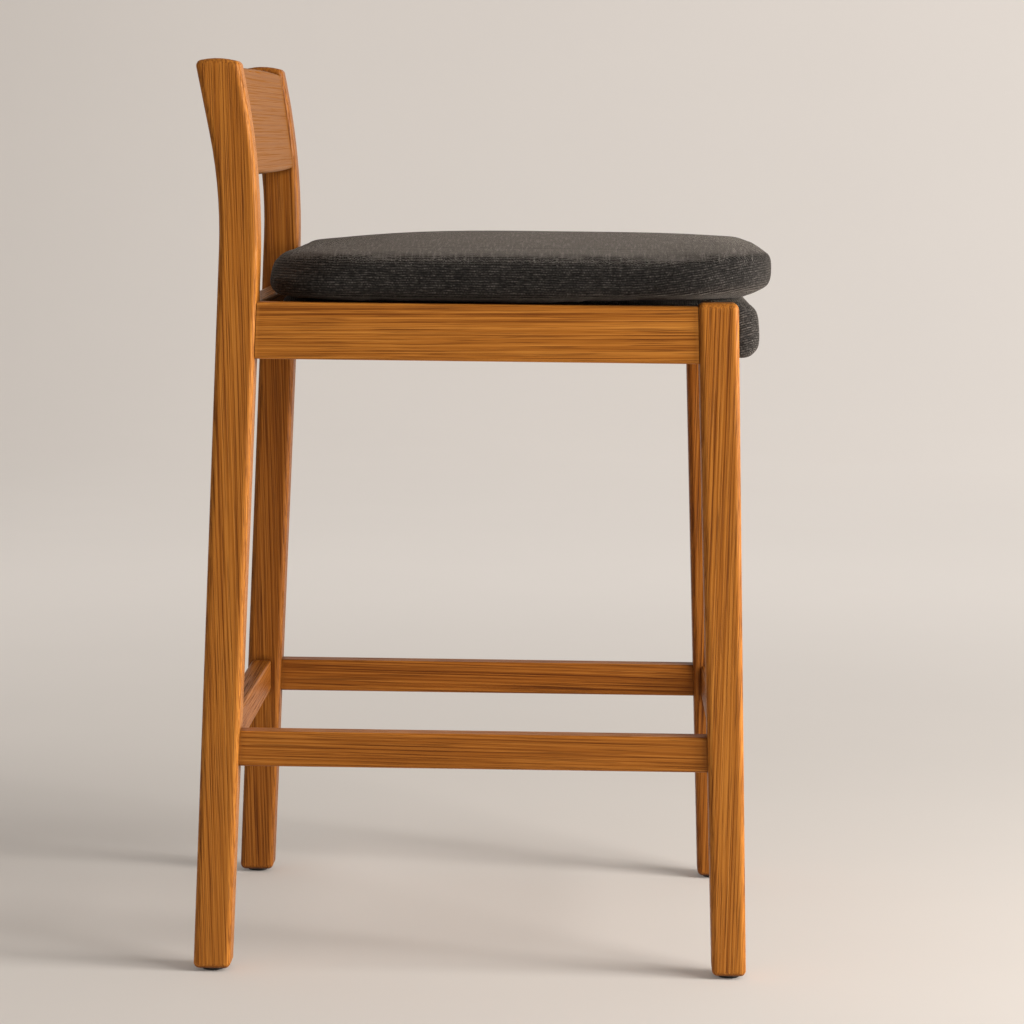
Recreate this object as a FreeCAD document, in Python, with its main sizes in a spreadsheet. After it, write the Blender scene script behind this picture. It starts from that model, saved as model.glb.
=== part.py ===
import FreeCAD, Part
import os
import re

import Sketcher
from FreeCAD import Placement, Rotation, Vector

# Counter-height stool: four shaped wooden legs, a rail frame with an upholstered seat
# panel, four stretchers (the front one is the footrest), a back panel and a loose cushion.
# The origin is on the floor under the middle of the stool. +Z is up, the sitter faces -Y,
# and the sitter's right hand is on the -X side. All sizes are millimetres.

doc = FreeCAD.newDocument("counter_stool")

# ---------------------------------------------------------------- driving dimensions
DRIVING = [
    ("stool_width", 480, "outer face of one leg to outer face of the other"),
    ("stool_depth", 524, "front of the cushion to the heel of the rear leg"),
    ("foot_gap", 3, "underside of a leg to the floor, filled by the glide"),
    ("leg_width", 36, "side to side, all four legs"),
    ("leg_round", 5.5, "rounded arrises of the legs"),
    ("rear_foot_depth", 34, "rear leg, front to back, at the foot"),
    ("rear_leg_top", 833.5, "height of the rear leg's top corners"),
    ("rear_top_back", 261.5, "rear leg, back corner at the top, behind the origin"),
    ("rear_top_front", 221.5, "rear leg, front corner at the top, behind the origin"),
    ("top_crown", 3, "rise of the domed end of the rear leg"),
    ("back_bend_out", 238, "bend on the back edge, distance behind the origin"),
    ("back_bend_up", 718, "bend on the back edge, height"),
    ("back_bend_round", 450, "radius of the bend on the back edge"),
    ("front_bend_out", 201, "bend on the front edge, distance behind the origin"),
    ("front_bend_up", 731, "bend on the front edge, height"),
    ("front_bend_round", 750, "radius of the bend on the front edge"),
    ("front_leg_top", 621.5, "height of the front leg"),
    ("front_foot_out", 247.6, "front leg, front face at the foot, ahead of the origin"),
    ("front_foot_depth", 31.2, "front leg, front to back, at the foot"),
    ("front_top_out", 230.2, "front leg, front face at the top, ahead of the origin"),
    ("front_top_depth", 36.8, "front leg, front to back, at the top"),
    ("rail_low", 566.5, "underside of the side rails"),
    ("rail_high", 618, "top of the side rails"),
    ("rail_thickness", 24, "side rail"),
    ("rail_setback", 3, "side rail's outer face behind the leg's outer face"),
    ("rail_round", 3, "rounded arrises of rails and stretchers"),
    ("rear_rail_drop", 3, "rear rail below the side rails"),
    ("rear_rail_front", 209.5, "front face of the rear rail, behind the origin"),
    ("rear_rail_thickness", 22, "rear rail"),
    ("front_rail_high", 598, "top of the front rail and of the seat board"),
    ("front_rail_back", 206, "back face of the front rail, ahead of the origin"),
    ("front_rail_thickness", 20, "front rail"),
    ("stretcher_low", 192, "underside of the four stretchers"),
    ("stretcher_high", 224.5, "top of the four stretchers"),
    ("stretcher_thickness", 24, "side stretchers"),
    ("stretcher_setback", 6, "side stretcher's outer face behind the leg's outer face"),
    ("rear_stretcher_front", 230.5, "front face of the rear stretcher, behind the origin"),
    ("rear_stretcher_thickness", 20, "rear stretcher"),
    ("footrest_back", 217, "back face of the footrest, ahead of the origin"),
    ("footrest_thickness", 22, "footrest"),
    ("panel_height", 96, "back panel between its corners"),
    ("panel_crown", 1.6, "swell of the back panel's top and bottom edges"),
    ("panel_thickness", 20, "back panel"),
    ("panel_round", 4, "rounded long edges of the back panel"),
    ("panel_lean", 8.2, "degrees that the back panel leans back"),
    ("panel_out", 226, "middle of the back panel, behind the origin"),
    ("panel_up", 780, "middle of the back panel, height"),
    ("tenon_thickness", 10, "every tenon"),
    ("tenon_shoulder", 7, "tenon's edge inside the edge of its rail"),
    ("side_tenon", 22, "length of the tenons that run front to back"),
    ("cross_tenon", 13, "length of the tenons that run side to side"),
    ("panel_tenon", 64, "height of the back panel's tenons"),
    ("joint_gap", 0.1, "room all round a tenon in its mortise"),
    ("glide_radius", 10.5, "plastic glide"),
    ("glide_bevel", 1, "bevel round the underside of the glide"),
    ("glide_bore", 1.6, "hole in the glide for its nail"),
    ("glide_recess", 3.6, "recess in the glide for the nail's head"),
    ("nail_radius", 1.1, "shank of the glide nail"),
    ("nail_length", 17, "glide nail above its head"),
    ("nail_head_radius", 3.2, "head of the glide nail"),
    ("nail_head_height", 1, "head of the glide nail"),
    ("nail_head_up", 0.6, "floor to the head of the glide nail"),
    ("cleat_width", 18, "side cleat, square to the rail"),
    ("cleat_height", 20, "side cleats and corner blocks"),
    ("cleat_length", 270, "side cleat"),
    ("cleat_screw_pitch", 105, "between the screws of a cleat"),
    ("block_leg", 55, "corner block along each rail"),
    ("block_notch", 0.4, "room between a corner block and the leg"),
    ("board_thickness", 10, "plywood seat board"),
    ("board_room", 0.4, "room between the seat board and the frame"),
    ("board_back", 205, "back edge of the seat board, behind the origin"),
    ("screw_radius", 2, "shank of the wood screws"),
    ("screw_hole", 2.05, "pilot hole"),
    ("screw_room", 2.3, "clearance hole"),
    ("screw_head_radius", 4, "countersunk head"),
    ("screw_head_height", 2.6, "countersunk head"),
    ("screw_drive", 1.3, "recess for the driver in a screw's head"),
    ("cleat_screw_length", 34, "cleat screw"),
    ("board_screw_length", 27, "seat board screw"),
    ("board_screw_in", 24, "seat board screw, in from the two rails it stands between"),
    ("pad_half_width", 203, "seat pad, middle to side, clear of the front legs"),
    ("pad_top", 623.5, "top of the seat pad"),
    ("pad_back", 190, "back end of the seat pad, behind the origin"),
    ("nose_out", 251, "front of the padded nose, ahead of the origin"),
    ("nose_low", 569.5, "underside of the padded nose"),
    ("nose_round_top", 16, "top front edge of the nose"),
    ("nose_round_low", 13, "bottom front edge of the nose"),
    ("pad_round", 6, "edges of the seat pad"),
    ("cover_skin", 1.2, "thickness of the woven covers"),
    ("filling_room", 0.1, "between a filling and its cover"),
    ("cushion_half_width", 237, "loose cushion, middle to side"),
    ("cushion_back", 199, "back of the loose cushion, behind the origin"),
    ("cushion_low", 623.8, "underside of the loose cushion"),
    ("cushion_high", 678, "top of the loose cushion"),
    ("cushion_corner", 90, "corners of the loose cushion seen from above"),
    ("cushion_round_top", 26, "top edge of the loose cushion"),
    ("cushion_round_low", 14, "bottom edge of the loose cushion"),
    ("zip_length", 240, "zip along the back of the cushion"),
    ("zip_height", 9, "zip tape"),
    ("zip_thickness", 0.8, "zip tape"),
    ("zip_up", 645, "middle of the zip, height"),
    ("zip_slider_length", 11, "zip slider"),
    ("zip_slider_height", 7, "zip slider"),
    ("zip_slider_thickness", 1.6, "zip slider"),
]

sheet = doc.addObject("Spreadsheet::Sheet", "Sizes")
for row, (alias, size, meaning) in enumerate(DRIVING, start=1):
    sheet.set(f"A{row}", meaning)
    sheet.set(f"B{row}", str(size))
    sheet.setAlias(f"B{row}", alias)
doc.recompute()

ALIASES = {alias for alias, _, _ in DRIVING}
SIDES = {"right": -1, "left": 1}
UP = Vector(0, 0, 1)
SLIVER = 1e-4


def bound(text):
    """The same expression with each alias written as a cell of the sheet."""
    return re.sub(r"[a-z_]+", lambda word: f"Sizes.{word[0]}" if word[0] in ALIASES else word[0], str(text))


def size(text):
    """The expression's value now."""
    return float(sheet.evalExpression(bound(text)))


# ---------------------------------------------------------------- where the members meet
INNER_FACE = "(stool_width / 2 - leg_width)"
LEG_MIDDLE = "(stool_width / 2 - leg_width / 2)"
RAIL_MIDDLE = "(stool_width / 2 - rail_setback - rail_thickness / 2)"
RAIL_INSIDE = "(stool_width / 2 - rail_setback - rail_thickness)"
STRETCHER_MIDDLE = "(stool_width / 2 - stretcher_setback - stretcher_thickness / 2)"
REAR_RAIL_LOW = "(rail_low - rear_rail_drop)"
REAR_RAIL_HIGH = "(rail_high - rear_rail_drop)"
FRONT_RAIL_FACE = "(front_rail_back + front_rail_thickness)"
FOOTREST_FACE = "(footrest_back + footrest_thickness)"
REAR_FOOT_FRONT = "(stool_depth / 2 - rear_foot_depth)"
REAR_FOOT_MIDDLE = "(stool_depth / 2 - rear_foot_depth / 2)"
FRONT_FOOT_BACK = "(front_foot_depth - front_foot_out)"
FRONT_FOOT_MIDDLE = "(front_foot_depth / 2 - front_foot_out)"
BOARD_LOW = "(front_rail_high - board_thickness)"
CLEAT_LOW = "(front_rail_high - board_thickness - cleat_height)"
FILLING_INSET = "(cover_skin + filling_room)"


def rear_leg_front(height):
    """Y of the rear leg's front face, below its bend."""
    share = f"({height} - foot_gap) / (front_bend_up - foot_gap)"
    return f"{REAR_FOOT_FRONT} + (front_bend_out - {REAR_FOOT_FRONT}) * {share}"


def front_leg_back(height):
    """Y of the front leg's back face."""
    share = f"({height} - foot_gap) / (front_leg_top - foot_gap)"
    return f"{FRONT_FOOT_BACK} + (front_top_depth - front_top_out - {FRONT_FOOT_BACK}) * {share}"


# ---------------------------------------------------------------- modelling steps
def new_body(label):
    body = doc.addObject("PartDesign::Body", label)
    body.Label = label
    return body


def plane_of(body, role):
    return next(item for item in body.Origin.OriginFeatures if item.Role == role)


def outline(body, role, corners, lift="0", swells=None):
    """A closed outline on one of the body's own planes, counter-clockwise.

    Both distances of every corner follow the sheet. lift moves the outline along the
    plane's normal. swells gives the rise of the arc that leaves a corner, by its number.
    """
    swells = swells or {}
    sketch = body.newObject("Sketcher::SketchObject", f"{body.Name}_outline")
    sketch.AttachmentSupport = [(plane_of(body, role), "")]
    sketch.MapMode = "FlatFace"
    sketch.setExpression("AttachmentOffset.Base.z", bound(lift))
    points = [Vector(size(across), size(up), 0) for across, up in corners]
    count = len(points)
    for number, start in enumerate(points):
        end = points[(number + 1) % count]
        if number in swells:
            outward = (end - start).cross(UP).normalize()
            middle = (start + end) * 0.5 + outward * size(swells[number])
            sketch.addGeometry(Part.Arc(start, middle, end))
        else:
            sketch.addGeometry(Part.LineSegment(start, end))
    for number, (across, up) in enumerate(corners):
        following = (number + 1) % count
        sketch.addConstraint(Sketcher.Constraint("Coincident", number, 2, following, 1))
        here = points[number]
        for kind, text, value in (("DistanceX", across, here.x), ("DistanceY", up, here.y)):
            index = sketch.addConstraint(Sketcher.Constraint(kind, -1, 1, number, 1, value))
            sketch.setExpression(f"Constraints[{index}]", bound(text))
    for number, rise in swells.items():
        (x1, y1), (x2, y2) = corners[number], corners[(number + 1) % count]
        chord = f"(({x2}) - ({x1}))^2 + (({y2}) - ({y1}))^2"
        radius = f"({chord}) / (8 * {rise}) + {rise} / 2"
        index = sketch.addConstraint(Sketcher.Constraint("Radius", number, size(radius)))
        sketch.setExpression(f"Constraints[{index}]", bound(radius))
    return sketch


def rectangle(left, low, right, high):
    return [(left, low), (right, low), (right, high), (left, high)]


def pad(body, sketch, length):
    """Adds material to both sides of the sketch's plane, length in all."""
    feature = body.newObject("PartDesign::Pad", f"{body.Name}_pad")
    feature.Profile = sketch
    feature.SideType = "Symmetric"
    feature.setExpression("Length", bound(length))
    doc.recompute()
    return feature


def pocket(body, sketch, length):
    """Removes material from both sides of the sketch's plane, length in all."""
    before = body.Shape.Volume
    feature = body.newObject("PartDesign::Pocket", f"{body.Name}_pocket")
    feature.Profile = sketch
    feature.SideType = "Symmetric"
    feature.setExpression("Length", bound(length))
    doc.recompute()
    if body.Shape.Volume > before - 1:
        raise RuntimeError(f"{body.Label}: a pocket removes nothing")
    return feature


def drill(body, role, centre, radius, depth, lift="0"):
    """A round hole, depth deep on both sides of the plane it starts from."""
    sketch = body.newObject("Sketcher::SketchObject", f"{body.Name}_hole")
    sketch.AttachmentSupport = [(plane_of(body, role), "")]
    sketch.MapMode = "FlatFace"
    sketch.setExpression("AttachmentOffset.Base.z", bound(lift))
    across, up = centre
    sketch.addGeometry(Part.Circle(Vector(size(across), size(up), 0), UP, size(radius)))
    for kind, text in (("DistanceX", across), ("DistanceY", up)):
        index = sketch.addConstraint(Sketcher.Constraint(kind, -1, 1, 0, 3, size(text)))
        sketch.setExpression(f"Constraints[{index}]", bound(text))
    index = sketch.addConstraint(Sketcher.Constraint("Radius", 0, size(radius)))
    sketch.setExpression(f"Constraints[{index}]", bound(radius))
    pocket(body, sketch, f"2 * ({depth})")


def fillet(body, radius, chosen):
    """Rounds the edges of the body's tip for which chosen(edge) is true."""
    base = body.Tip
    names = [f"Edge{number}" for number, edge in enumerate(base.Shape.Edges, start=1) if chosen(edge)]
    feature = body.newObject("PartDesign::Fillet", f"{body.Name}_fillet")
    feature.Base = (base, names)
    feature.setExpression("Radius", bound(radius))
    doc.recompute()
    return feature


def flat_in_x(edge):
    return edge.BoundBox.XLength < SLIVER


def runs_at(edge, across, up):
    """True for an edge along X that passes through the point (across, up) of the YZ plane."""
    centre = edge.BoundBox.Center
    near = abs(centre.y - size(across)) < 1 and abs(centre.z - size(up)) < 1
    return near and not flat_in_x(edge)


def cylinder(label, centre, axis, radius, length):
    """A cylinder whose foot is at centre, three expressions, and which runs along axis."""
    solid = doc.addObject("Part::Cylinder", label)
    solid.setExpression("Radius", bound(radius))
    solid.setExpression("Height", bound(length))
    place(solid, centre, Rotation(UP, axis))
    return solid


def cone(label, centre, axis, wide, narrow, length):
    """A cone that narrows from its foot at centre along axis."""
    solid = doc.addObject("Part::Cone", label)
    solid.setExpression("Radius1", bound(wide))
    solid.setExpression("Radius2", bound(narrow))
    solid.setExpression("Height", bound(length))
    place(solid, centre, Rotation(UP, axis))
    return solid


def box(label, low_corner, lengths):
    solid = doc.addObject("Part::Box", label)
    for name, text in zip(("Length", "Width", "Height"), lengths):
        solid.setExpression(name, bound(text))
    place(solid, low_corner, Rotation())
    return solid


def place(solid, centre, rotation):
    solid.Placement = Placement(Vector(*[size(text) for text in centre]), rotation)
    for axis_name, text in zip("xyz", centre):
        solid.setExpression(f"Placement.Base.{axis_name}", bound(text))


def fused(label, solids):
    group = doc.addObject("Part::MultiFuse", label)
    group.Label = label
    group.Shapes = solids
    return group


def cut(label, base, tool):
    result = doc.addObject("Part::Cut", label)
    result.Label = label
    result.Base = base
    result.Tool = tool
    return result


# ---------------------------------------------------------------- legs
def side_mortise(body, side, low, high, middle, face, inwards):
    """Takes the tenon of a side rail or side stretcher, which enters through face."""
    bottom = f"{low} + tenon_shoulder - joint_gap"
    top = f"{high} - tenon_shoulder + joint_gap"
    reach = f"{inwards} * (side_tenon + joint_gap)"
    mouth = f"{-inwards} * leg_round"
    corners = [
        (f"{face(bottom)} + {mouth}", bottom),
        (f"{face(bottom)} + {reach}", bottom),
        (f"{face(top)} + {reach}", top),
        (f"{face(top)} + {mouth}", top),
    ]
    sketch = outline(body, "YZ_Plane", corners, lift=f"{side} * {middle}")
    pocket(body, sketch, "tenon_thickness + 2 * joint_gap")


def cross_mortise(body, side, front, thickness, low, high):
    """Takes the tenon of a member that runs side to side; front is its front face."""
    near = f"{front} + ({thickness} - tenon_thickness) / 2 - joint_gap"
    far = f"{front} + ({thickness} + tenon_thickness) / 2 + joint_gap"
    bottom = f"{low} + tenon_shoulder - joint_gap"
    top = f"{high} - tenon_shoulder + joint_gap"
    sketch = outline(body, "YZ_Plane", rectangle(near, bottom, far, top), lift=f"{side} * {INNER_FACE}")
    pocket(body, sketch, "2 * (cross_tenon + joint_gap)")


def panel_mortise(body, side):
    """Takes the back panel's tenon, which leans with the panel."""
    half_width = "(tenon_thickness / 2 + joint_gap)"
    half_height = "(panel_tenon / 2 + joint_gap)"
    corners = []
    for across, up in ((-1, -1), (1, -1), (1, 1), (-1, 1)):
        along = f"{across} * {half_width}"
        rise = f"{up} * {half_height}"
        corners.append((
            f"panel_out + {along} * cos(panel_lean) + {rise} * sin(panel_lean)",
            f"panel_up - {along} * sin(panel_lean) + {rise} * cos(panel_lean)",
        ))
    sketch = outline(body, "YZ_Plane", corners, lift=f"{side} * {INNER_FACE}")
    pocket(body, sketch, "2 * (cross_tenon + joint_gap)")


def nail_hole(body, side, foot_middle):
    """A hole up the middle of the foot for the glide's nail."""
    centre = (f"{side} * {LEG_MIDDLE}", foot_middle)
    drill(body, "XY_Plane", centre, "nail_radius + joint_gap / 2", "nail_head_up + nail_length + 2")


def round_leg(body, top):
    """Rounds every arris of a leg, and leaves the smooth seams of its bends alone."""
    low, high = size("foot_gap"), size(top)

    def arris(edge):
        height = edge.BoundBox.Center.z
        at_end = height < low + 1 or height > high - 1
        return flat_in_x(edge) or at_end

    fillet(body, "leg_round", arris)


def make_rear_leg(name, side):
    """One plank: splayed back to the floor, upright at the seat, leaning back above it."""
    body = new_body(f"rear_leg_{name}")
    corners = [
        (REAR_FOOT_FRONT, "foot_gap"),
        ("stool_depth / 2", "foot_gap"),
        ("back_bend_out", "back_bend_up"),
        ("rear_top_back", "rear_leg_top"),
        ("rear_top_front", "rear_leg_top"),
        ("front_bend_out", "front_bend_up"),
    ]
    top_end = 3
    profile = outline(body, "YZ_Plane", corners, lift=f"{side} * {LEG_MIDDLE}", swells={top_end: "top_crown"})
    pad(body, profile, "leg_width")
    fillet(body, "back_bend_round", lambda edge: runs_at(edge, "back_bend_out", "back_bend_up"))
    fillet(body, "front_bend_round", lambda edge: runs_at(edge, "front_bend_out", "front_bend_up"))
    round_leg(body, "rear_leg_top")
    side_mortise(body, side, "rail_low", "rail_high", RAIL_MIDDLE, rear_leg_front, 1)
    side_mortise(body, side, "stretcher_low", "stretcher_high", STRETCHER_MIDDLE, rear_leg_front, 1)
    cross_mortise(body, side, "rear_rail_front", "rear_rail_thickness",
                  REAR_RAIL_LOW, REAR_RAIL_HIGH)
    cross_mortise(body, side, "rear_stretcher_front", "rear_stretcher_thickness",
                  "stretcher_low", "stretcher_high")
    panel_mortise(body, side)
    nail_hole(body, side, REAR_FOOT_MIDDLE)
    return body


def make_front_leg(name, side):
    """Tapers to the foot and splays forward a little."""
    body = new_body(f"front_leg_{name}")
    corners = [
        ("-front_foot_out", "foot_gap"),
        (FRONT_FOOT_BACK, "foot_gap"),
        ("front_top_depth - front_top_out", "front_leg_top"),
        ("-front_top_out", "front_leg_top"),
    ]
    profile = outline(body, "YZ_Plane", corners, lift=f"{side} * {LEG_MIDDLE}")
    pad(body, profile, "leg_width")
    round_leg(body, "front_leg_top")
    side_mortise(body, side, "rail_low", "rail_high", RAIL_MIDDLE, front_leg_back, -1)
    side_mortise(body, side, "stretcher_low", "stretcher_high", STRETCHER_MIDDLE, front_leg_back, -1)
    cross_mortise(body, side, f"-{FRONT_RAIL_FACE}", "front_rail_thickness", "rail_low", "front_rail_high")
    cross_mortise(body, side, f"-{FOOTREST_FACE}", "footrest_thickness",
                  "stretcher_low", "stretcher_high")
    nail_hole(body, side, FRONT_FOOT_MIDDLE)
    return body


# ---------------------------------------------------------------- rails and stretchers
def make_side_member(label, side, low, high, middle, thickness):
    """Runs front to back between two legs; its shoulders follow their sloping faces."""
    body = new_body(label)
    lift = f"{side} * {middle}"
    corners = [
        (front_leg_back(low), low),
        (rear_leg_front(low), low),
        (rear_leg_front(high), high),
        (front_leg_back(high), high),
    ]
    pad(body, outline(body, "YZ_Plane", corners, lift=lift), thickness)
    fillet(body, "rail_round", lambda edge: edge.BoundBox.YLength > size("stool_depth / 2"))
    bottom = f"{low} + tenon_shoulder"
    top = f"{high} - tenon_shoulder"
    tongue = [
        (f"{front_leg_back(bottom)} - side_tenon", bottom),
        (f"{rear_leg_front(bottom)} + side_tenon", bottom),
        (f"{rear_leg_front(top)} + side_tenon", top),
        (f"{front_leg_back(top)} - side_tenon", top),
    ]
    pad(body, outline(body, "YZ_Plane", tongue, lift=lift), "tenon_thickness")
    return body


def make_cross_member(label, front, thickness, low, high):
    """Runs side to side between two legs; front is the Y of its front face."""
    body = new_body(label)
    pad(body, outline(body, "YZ_Plane", rectangle(front, low, f"{front} + {thickness}", high)),
        f"2 * {INNER_FACE}")
    fillet(body, "rail_round", lambda edge: not flat_in_x(edge))
    tongue = rectangle(
        f"{front} + ({thickness} - tenon_thickness) / 2", f"{low} + tenon_shoulder",
        f"{front} + ({thickness} + tenon_thickness) / 2", f"{high} - tenon_shoulder")
    pad(body, outline(body, "YZ_Plane", tongue), f"2 * ({INNER_FACE} + cross_tenon)")
    return body


def make_back_panel():
    """A flat panel with gently swelling top and bottom edges, made upright and then leant back."""
    body = new_body("back_panel")
    face = rectangle(f"-{INNER_FACE}", "-panel_height / 2", INNER_FACE, "panel_height / 2")
    bottom_edge, top_edge = 0, 2
    swells = {bottom_edge: "panel_crown", top_edge: "panel_crown"}
    pad(body, outline(body, "XZ_Plane", face, swells=swells), "panel_thickness")
    fillet(body, "panel_round", lambda edge: not flat_in_x(edge))
    tongue = rectangle(f"-({INNER_FACE} + cross_tenon)", "-panel_tenon / 2",
                       f"{INNER_FACE} + cross_tenon", "panel_tenon / 2")
    pad(body, outline(body, "XZ_Plane", tongue), "tenon_thickness")
    place(body, ("0", "panel_out", "panel_up"), Rotation(Vector(1, 0, 0), -size("panel_lean")))
    body.setExpression("Placement.Rotation.Angle", bound("-panel_lean"))
    return body


# ---------------------------------------------------------------- seat support
def screw(label, head_centre, axis, length):
    """A countersunk wood screw with its head's face at head_centre."""
    shank = cylinder(f"{label}_shank", head_centre, axis, "screw_radius", length)
    head = cone(f"{label}_head", head_centre, axis, "screw_head_radius", "screw_radius", "screw_head_height")
    drive = cylinder(f"{label}_drive", head_centre, axis, "screw_drive", "screw_drive")
    return cut(label, fused(f"{label}_blank", [shank, head]), drive)


def screw_hole(label, head_centre, axis, length):
    """A clearance hole with its countersink, which opens at head_centre."""
    bore = cylinder(f"{label}_bore", head_centre, axis, "screw_room", length)
    sink = cone(f"{label}_sink", head_centre, axis, "screw_head_radius + joint_gap",
                "screw_room", "screw_head_height")
    return [bore, sink]


def cleat_screws(side):
    """Head centres of one cleat's screws, and the way they point: out into the side rail."""
    across = f"{side} * ({RAIL_INSIDE} - cleat_width)"
    up = f"{CLEAT_LOW} + cleat_height / 2"
    return [(across, f"{number} * cleat_screw_pitch", up) for number in (-1, 0, 1)], Vector(side, 0, 0)


def board_screw(side, end):
    """Head centre of the screw that comes up through one corner block."""
    inner_rail = "rear_rail_front" if end > 0 else "front_rail_back"
    across = f"{side} * ({RAIL_INSIDE} - board_screw_in)"
    along = f"{end} * ({inner_rail} - board_screw_in)"
    return (across, along, CLEAT_LOW)


def drill_side_rail(body, side):
    """Pilot holes for the cleat screws, from the rail's inner face."""
    centres, _ = cleat_screws(side)
    for _, along, up in centres:
        drill(body, "YZ_Plane", (along, up), "screw_hole", "cleat_screw_length - cleat_width + 1",
              lift=f"{side} * {RAIL_INSIDE}")


def make_cleat(name, side):
    """A strip along the inside of a side rail that carries the seat board."""
    inner = f"({RAIL_INSIDE} - cleat_width)"
    left = inner if side > 0 else f"-({inner} + cleat_width)"
    strip = box(f"cleat_{name}_strip", (left, "-cleat_length / 2", CLEAT_LOW),
                ("cleat_width", "cleat_length", "cleat_height"))
    centres, axis = cleat_screws(side)
    holes = []
    for number, centre in enumerate(centres):
        holes += screw_hole(f"cleat_{name}_hole_{number}", centre, axis, "cleat_width")
    return cut(f"side_cleat_{name}", strip, fused(f"cleat_{name}_holes", holes))


def make_corner_block(name, side, end):
    """A glued block in a corner of the seat frame, notched round the leg."""
    body = new_body(f"corner_block_{name}")
    rail = "rear_rail_front" if end > 0 else "front_rail_back"
    face = rear_leg_front(BOARD_LOW) if end > 0 else f"-({front_leg_back(BOARD_LOW)})"
    face_low = rear_leg_front(CLEAT_LOW) if end > 0 else f"-({front_leg_back(CLEAT_LOW)})"
    leg_face = f"(min({face}; {face_low}) - block_notch)"
    corners = [
        (RAIL_INSIDE, f"{rail} - block_leg"),
        (RAIL_INSIDE, leg_face),
        (f"{INNER_FACE} - block_notch", leg_face),
        (f"{INNER_FACE} - block_notch", rail),
        (f"{RAIL_INSIDE} - block_leg", rail),
    ]
    turned = [(f"{side} * ({across})", f"{end} * ({along})") for across, along in corners]
    if side * end < 0:
        turned.reverse()
    sketch = outline(body, "XY_Plane", turned, lift=f"{CLEAT_LOW} + cleat_height / 2")
    pad(body, sketch, "cleat_height")
    head = board_screw(side, end)
    hole = screw_hole(f"block_{name}_hole", head, UP, "cleat_height")
    body.Label = f"block_{name}_blank"
    return cut(f"corner_block_{name}", body, fused(f"block_{name}_holes", hole))


def make_seat_board():
    """Plywood panel on the cleats and corner blocks, notched round the front legs."""
    body = new_body("seat_board_blank")
    wide = f"({RAIL_INSIDE} - board_room)"
    narrow = f"({INNER_FACE} - board_room)"
    front = "-(front_rail_back - board_room)"
    notch = f"({front_leg_back(BOARD_LOW)} + 2 * board_room)"
    corners = [
        (f"-{narrow}", front),
        (narrow, front),
        (narrow, notch),
        (wide, notch),
        (wide, "board_back"),
        (f"-{wide}", "board_back"),
        (f"-{wide}", notch),
        (f"-{narrow}", notch),
    ]
    sketch = outline(body, "XY_Plane", corners, lift=f"{BOARD_LOW} + board_thickness / 2")
    pad(body, sketch, "board_thickness")
    holes = []
    for side in (-1, 1):
        for end in (-1, 1):
            across, along, _ = board_screw(side, end)
            holes.append(cylinder(f"board_hole_{len(holes)}", (across, along, BOARD_LOW), UP,
                                  "screw_hole", "board_screw_length - cleat_height + 1"))
    return cut("seat_board", body, fused("board_holes", holes))


def make_screws():
    """The cleat screws and the seat board screws, each set in a node of its own."""
    into_rails = []
    for name, side in SIDES.items():
        centres, axis = cleat_screws(side)
        for number, centre in enumerate(centres):
            into_rails.append(screw(f"rail_screw_{name}_{number}", centre, axis, "cleat_screw_length"))
    into_board = []
    for side in (-1, 1):
        for end in (-1, 1):
            head = board_screw(side, end)
            into_board.append(screw(f"board_screw_{len(into_board)}", head, UP, "board_screw_length"))
    return [fused("cleat_screws", into_rails), fused("seat_board_screws", into_board)]


# ---------------------------------------------------------------- glides
def foot_centres():
    for name, side in SIDES.items():
        yield f"front_{name}", side, FRONT_FOOT_MIDDLE
        yield f"rear_{name}", side, REAR_FOOT_MIDDLE


def make_glide(name, side, along):
    """A turned plastic button with a stepped hole for its nail."""
    body = new_body(f"glide_{name}")
    step = "nail_head_up + nail_head_height"
    profile = [
        ("glide_recess", "0"),
        ("glide_radius - glide_bevel", "0"),
        ("glide_radius", "glide_bevel"),
        ("glide_radius", "foot_gap"),
        ("glide_bore", "foot_gap"),
        ("glide_bore", step),
        ("glide_recess", step),
    ]
    sketch = outline(body, "XZ_Plane", profile)
    turned = body.newObject("PartDesign::Revolution", f"{body.Name}_turned")
    turned.Profile = sketch
    turned.ReferenceAxis = (sketch, ["V_Axis"])
    turned.Angle = 360
    doc.recompute()
    place(body, (f"{side} * {LEG_MIDDLE}", along, "0"), Rotation())
    return body


def make_glide_nails():
    """One nail up through each glide into the leg; the head stays clear of the floor."""
    nails = []
    for name, side, along in foot_centres():
        across = f"{side} * {LEG_MIDDLE}"
        foot = (across, along, "nail_head_up")
        head = cylinder(f"nail_head_{name}", foot, UP, "nail_head_radius", "nail_head_height")
        shank = cylinder(f"nail_shank_{name}", foot, UP, "nail_radius", "nail_head_height + nail_length")
        nails.append(fused(f"nail_{name}", [head, shank]))
    return fused("glide_nails", nails)


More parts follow.
